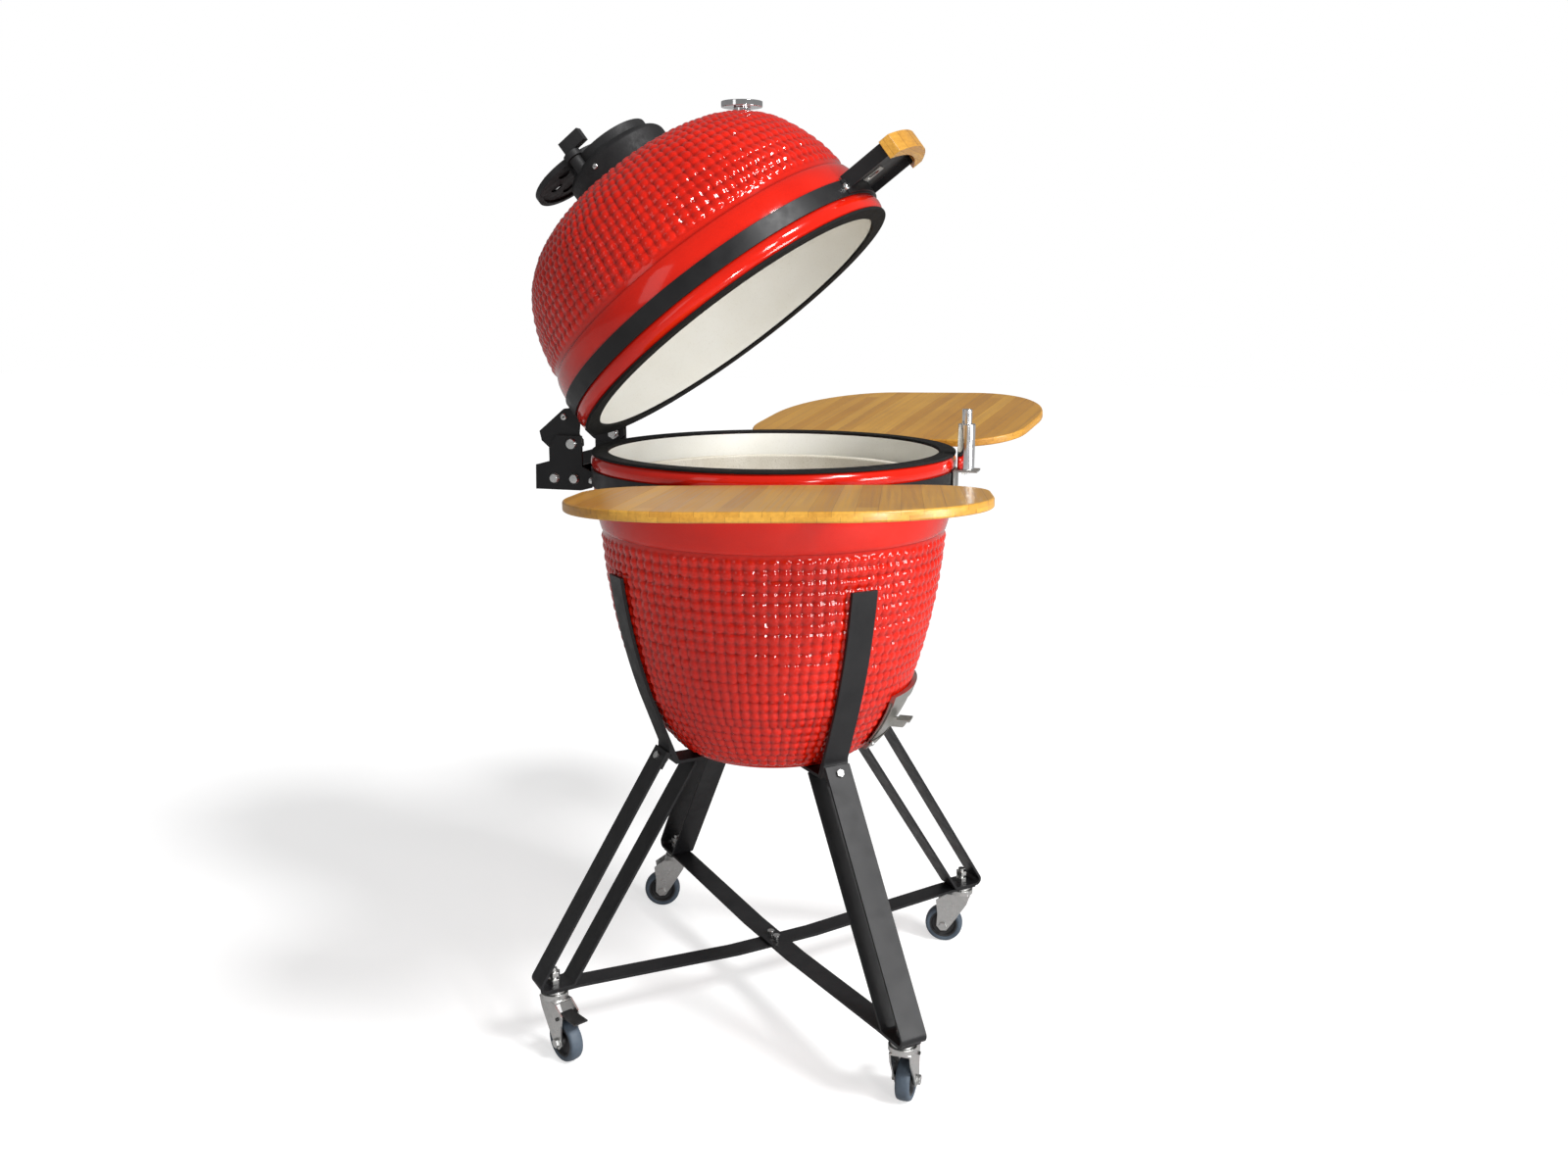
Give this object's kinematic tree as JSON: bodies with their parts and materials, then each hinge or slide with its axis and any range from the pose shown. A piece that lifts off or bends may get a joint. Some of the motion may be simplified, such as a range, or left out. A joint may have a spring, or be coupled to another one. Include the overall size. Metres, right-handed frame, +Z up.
{
  "type": "kamado charcoal grill",
  "caption": "Ceramic kamado grill with a hinged domed lid open over the bowl, chimney vent, draft door, folding bamboo side shelves and a caster stand",
  "frame": {"origin": "on the floor under the bowl's axis", "axes": "+Z up, -Y to the front (handle side), +X and -X to the side shelves, lid hinge at +Y"},
  "size_m": [1.2319, 0.7315, 1.351],
  "materials": {
    "red_glaze": "gloss red glaze over a studded texture, cream inside",
    "fire_ceramic": "matt refractory ceramic",
    "black_steel": "satin black powder coat",
    "gasket_felt": "matt black fibre",
    "grate_steel": "bright wire",
    "grate_iron": "seasoned cast iron",
    "vent_iron": "matt black casting",
    "stainless": "brushed",
    "zinc": "zinc plated",
    "bolt_steel": "bright",
    "chrome": "polished",
    "bamboo": "satin oiled laminated bamboo",
    "tyre": "blue-grey rubber",
    "hub_plastic": "moulded",
    "pedal_plastic": "moulded black",
    "lens": "clear",
    "needle_red": "gloss"
  },
  "bodies": {
    "root": {"band_bolts": "bolt_steel", "base_band": "black_steel", "base_gasket": "gasket_felt", "base_shell": "red_glaze", "braces": "black_steel", "caster_stems": "zinc", "charcoal_grate": "grate_iron", "cradle_front_left": "black_steel", "cradle_front_right": "black_steel", "cradle_rear_left": "black_steel", "cradle_rear_right": "black_steel", "damper_bracket": "stainless", "damper_tube": "chrome", "draft_frame": "stainless", "fire_ring": "fire_ceramic", "firebox": "fire_ceramic", "frame_bolts": "bolt_steel", "hinge_bracket": "black_steel", "hinge_pins": "bolt_steel", "leg_front_left": "black_steel", "leg_front_right": "black_steel", "leg_rear_left": "black_steel", "leg_rear_right": "black_steel", "shelf_brackets": "black_steel"},
    "lid": {"lid_hinge_arms": "black_steel", "lid_dome": "red_glaze", "lid_gasket": "gasket_felt", "lid_band": "black_steel", "handle_bracket": "black_steel", "handle_striker": "stainless", "handle_grip": "bamboo", "thermometer_case": "chrome", "thermometer_lens": "lens", "vent_collar": "vent_iron", "vent_pivot": "vent_iron"},
    "thermometer_needle": {"thermometer_needle": "needle_red"},
    "vent_cap": {"vent_cap": "vent_iron"},
    "vent_wheel": {"vent_wheel": "vent_iron"},
    "cooking_grate": {"cooking_grate": "grate_steel"},
    "draft_door": {"draft_door": "stainless"},
    "left_shelf": {"left_shelf": "bamboo", "left_shelf_arms": "black_steel"},
    "right_shelf": {"right_shelf": "bamboo", "right_shelf_arms": "black_steel"},
    "damper_plunger": {"damper_plunger": "chrome"},
    "caster_rear_left": {"caster_fork_rear_left": "zinc"},
    "wheel_rear_left": {"caster_tyre_rear_left": "tyre", "caster_hub_rear_left": "hub_plastic"},
    "pedal_rear_left": {"brake_pedal_rear_left": "pedal_plastic"},
    "caster_front_left": {"caster_fork_front_left": "zinc"},
    "wheel_front_left": {"caster_tyre_front_left": "tyre", "caster_hub_front_left": "hub_plastic"},
    "pedal_front_left": {"brake_pedal_front_left": "pedal_plastic"},
    "caster_front_right": {"caster_fork_front_right": "zinc"},
    "wheel_front_right": {"caster_tyre_front_right": "tyre", "caster_hub_front_right": "hub_plastic"},
    "caster_rear_right": {"caster_fork_rear_right": "zinc"},
    "wheel_rear_right": {"caster_tyre_rear_right": "tyre", "caster_hub_rear_right": "hub_plastic"}
  },
  "joints": [
    {"name": "lid_hinge", "type": "hinge", "parent": "root", "child": "lid", "pos_m": [0, 0.282, 0.875], "axis": [-1, 0, 0], "range_deg": [-37.6, 22.4]},
    {"name": "thermometer_needle", "type": "hinge", "parent": "lid", "child": "thermometer_needle", "pos_m": [0, 0.0463, 1.33596], "axis": [0, 0, 1], "range_deg": [-270, 0], "stiffness_Nm_per_rad": 0.002},
    {"name": "vent_cap_swing", "type": "hinge", "parent": "lid", "child": "vent_cap", "pos_m": [-0.062, 0.27536, 1.27694], "axis": [0, 0.6101, 0.7923], "range_deg": [-53.9, 20]},
    {"name": "vent_wheel_turn", "type": "hinge", "parent": "vent_cap", "child": "vent_wheel", "pos_m": [-0.00002, 0.30279, 1.26086], "axis": [0, 0.6101, 0.7923], "range_deg": [-30, 30]},
    {"name": "cooking_grate_lift", "type": "slide", "parent": "root", "child": "cooking_grate", "axis": [0, 0, 1], "range_m": [0, 0.06]},
    {"name": "draft_door_slide", "type": "hinge", "parent": "root", "child": "draft_door", "pos_m": [0, 0, 0.484], "axis": [0, 0, 1], "range_deg": [0, 16]},
    {"name": "left_shelf_fold", "type": "hinge", "parent": "root", "child": "left_shelf", "pos_m": [-0.274, -0.1, 0.846], "axis": [0.1908, -0.9815, 0.0175], "range_deg": [0, 91]},
    {"name": "right_shelf_fold", "type": "hinge", "parent": "root", "child": "right_shelf", "pos_m": [0.274, -0.074, 0.846], "axis": [0.1907, 0.9812, -0.0297], "range_deg": [0, 96]},
    {"name": "damper_press", "type": "slide", "parent": "root", "child": "damper_plunger", "axis": [0, 0, -1], "range_m": [0, 0.0205], "stiffness_N_per_m": 300, "springref_m": -0.01},
    {"name": "caster_rear_left_swivel", "type": "hinge", "parent": "root", "child": "caster_rear_left", "pos_m": [-0.25739, 0.25739, 0.094], "axis": [0, 0, 1], "continuous": true},
    {"name": "wheel_rear_left_roll", "type": "hinge", "parent": "caster_rear_left", "child": "wheel_rear_left", "pos_m": [-0.2717, 0.23449, 0.0315], "axis": [0.848, -0.5299, 0], "continuous": true},
    {"name": "brake_rear_left", "type": "hinge", "parent": "caster_rear_left", "child": "pedal_rear_left", "pos_m": [-0.27328, 0.23195, 0.07], "axis": [0.848, -0.5299, 0], "range_deg": [0, 10]},
    {"name": "caster_front_left_swivel", "type": "hinge", "parent": "root", "child": "caster_front_left", "pos_m": [-0.25739, -0.25739, 0.094], "axis": [0, 0, 1], "continuous": true},
    {"name": "wheel_front_left_roll", "type": "hinge", "parent": "caster_front_left", "child": "wheel_front_left", "pos_m": [-0.23042, -0.2588, 0.0315], "axis": [0.0523, 0.9986, 0], "continuous": true},
    {"name": "brake_front_left", "type": "hinge", "parent": "caster_front_left", "child": "pedal_front_left", "pos_m": [-0.22743, -0.25896, 0.07], "axis": [0.0523, 0.9986, 0], "range_deg": [0, 10]},
    {"name": "caster_front_right_swivel", "type": "hinge", "parent": "root", "child": "caster_front_right", "pos_m": [0.25739, -0.25739, 0.094], "axis": [0, 0, 1], "continuous": true},
    {"name": "wheel_front_right_roll", "type": "hinge", "parent": "caster_front_right", "child": "wheel_front_right", "pos_m": [0.25644, -0.2304, 0.0315], "axis": [-0.9994, -0.0349, 0], "continuous": true},
    {"name": "caster_rear_right_swivel", "type": "hinge", "parent": "root", "child": "caster_rear_right", "pos_m": [0.25739, 0.25739, 0.094], "axis": [0, 0, 1], "continuous": true},
    {"name": "wheel_rear_right_roll", "type": "hinge", "parent": "caster_rear_right", "child": "wheel_rear_right", "pos_m": [0.24995, 0.28334, 0.0315], "axis": [-0.9613, -0.2756, 0], "continuous": true}
  ]
}
